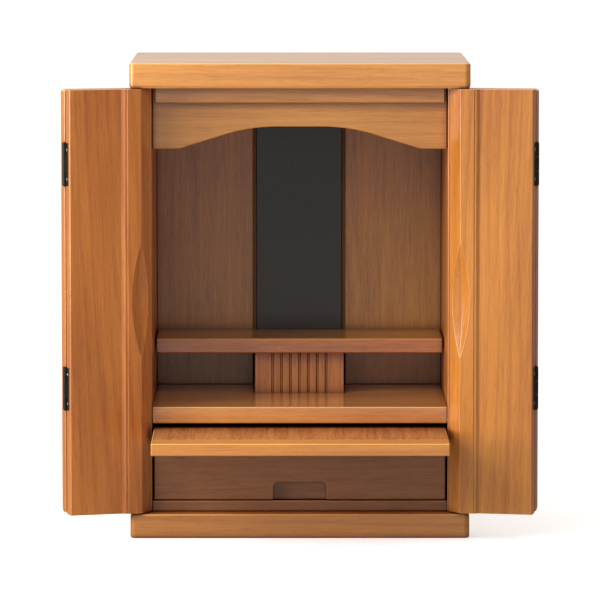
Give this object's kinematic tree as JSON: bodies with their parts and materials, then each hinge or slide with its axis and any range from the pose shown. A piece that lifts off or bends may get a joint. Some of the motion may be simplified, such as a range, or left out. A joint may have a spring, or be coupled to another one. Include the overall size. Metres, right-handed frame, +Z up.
{
  "type": "household altar cabinet",
  "caption": "Small upright wooden altar cabinet with folding door pairs, a two-level niche with an arched valance, a slide-out tray and a drawer.",
  "frame": {"origin": "centre of the base plinth's underside", "axes": "+Z up, +Y to the back of the cabinet, +X to the right of someone facing its open front"},
  "size_m": [0.4856, 0.378, 0.485],
  "materials": {
    "honey_wood": "satin lacquer over straight grain, honey brown",
    "door_wood": "satin lacquer over upright grain, warm brown",
    "walnut_wood": "satin lacquer, darker walnut brown",
    "drawer_wood": "satin lacquer over level grain",
    "plain_wood": "plain sanded wood inside and behind",
    "black_lacquer": "semi-gloss black lacquer",
    "dark_bronze": "dark bronzed hinge metal, satin",
    "screw_metal": "pale worn screw heads"
  },
  "bodies": {
    "carcass": {"base_plinth": "honey_wood", "top_plate": "honey_wood", "side_panel_left": "door_wood", "side_panel_right": "door_wood", "back_board": "plain_wood", "back_panel_left": "walnut_wood", "back_panel_right": "walnut_wood", "back_panel_centre": "black_lacquer", "header_strip": "honey_wood", "valance": "honey_wood", "main_shelf": "honey_wood", "upper_shelf": "walnut_wood", "shelf_riser": "walnut_wood", "drawer_divider": "drawer_wood", "bottom_board": "drawer_wood", "side_hinge_left_upper": "dark_bronze", "side_hinge_left_lower": "dark_bronze", "side_hinge_right_upper": "dark_bronze", "side_hinge_right_lower": "dark_bronze"},
    "outer_door_left": {"outer_leaf_left": "door_wood", "leaf_hinge_left_upper": "dark_bronze", "leaf_hinge_left_lower": "dark_bronze", "fold_hinge_outer_left_upper": "dark_bronze", "fold_hinge_outer_left_lower": "dark_bronze"},
    "inner_door_left": {"inner_leaf_left": "door_wood", "fold_hinge_inner_left_upper": "dark_bronze", "fold_hinge_inner_left_lower": "dark_bronze"},
    "outer_door_right": {"outer_leaf_right": "door_wood", "leaf_hinge_right_upper": "dark_bronze", "leaf_hinge_right_lower": "dark_bronze", "fold_hinge_outer_right_upper": "dark_bronze", "fold_hinge_outer_right_lower": "dark_bronze"},
    "inner_door_right": {"inner_leaf_right": "door_wood", "fold_hinge_inner_right_upper": "dark_bronze", "fold_hinge_inner_right_lower": "dark_bronze"},
    "slide_tray": {"slide_tray_rail": "honey_wood", "slide_tray_board": "honey_wood"},
    "drawer": {"drawer_front": "drawer_wood", "drawer_side_left": "plain_wood", "drawer_side_right": "plain_wood", "drawer_back": "plain_wood", "drawer_bottom": "plain_wood"}
  },
  "joints": [
    {"name": "left_side_hinge", "type": "hinge", "parent": "carcass", "child": "outer_door_left", "pos_m": [-0.166, -0.111, 0.24325], "axis": [0, 0, -1], "range_deg": [0, 17.6]},
    {"name": "left_fold_hinge", "type": "hinge", "parent": "outer_door_left", "child": "inner_door_left", "pos_m": [-0.23842, -0.13586, 0.24325], "axis": [0, 0, -1], "range_deg": [0, 180]},
    {"name": "right_side_hinge", "type": "hinge", "parent": "carcass", "child": "outer_door_right", "pos_m": [0.166, -0.111, 0.24325], "axis": [0, 0, 1], "range_deg": [0, 12.9]},
    {"name": "right_fold_hinge", "type": "hinge", "parent": "outer_door_right", "child": "inner_door_right", "pos_m": [0.24022, -0.12984, 0.24325], "axis": [0, 0, 1], "range_deg": [0, 180]},
    {"name": "tray_slide", "type": "slide", "parent": "carcass", "child": "slide_tray", "axis": [0, 1, 0], "range_m": [0, 0.14]},
    {"name": "drawer_slide", "type": "slide", "parent": "carcass", "child": "drawer", "axis": [0, -1, 0], "range_m": [0, 0.13]}
  ]
}
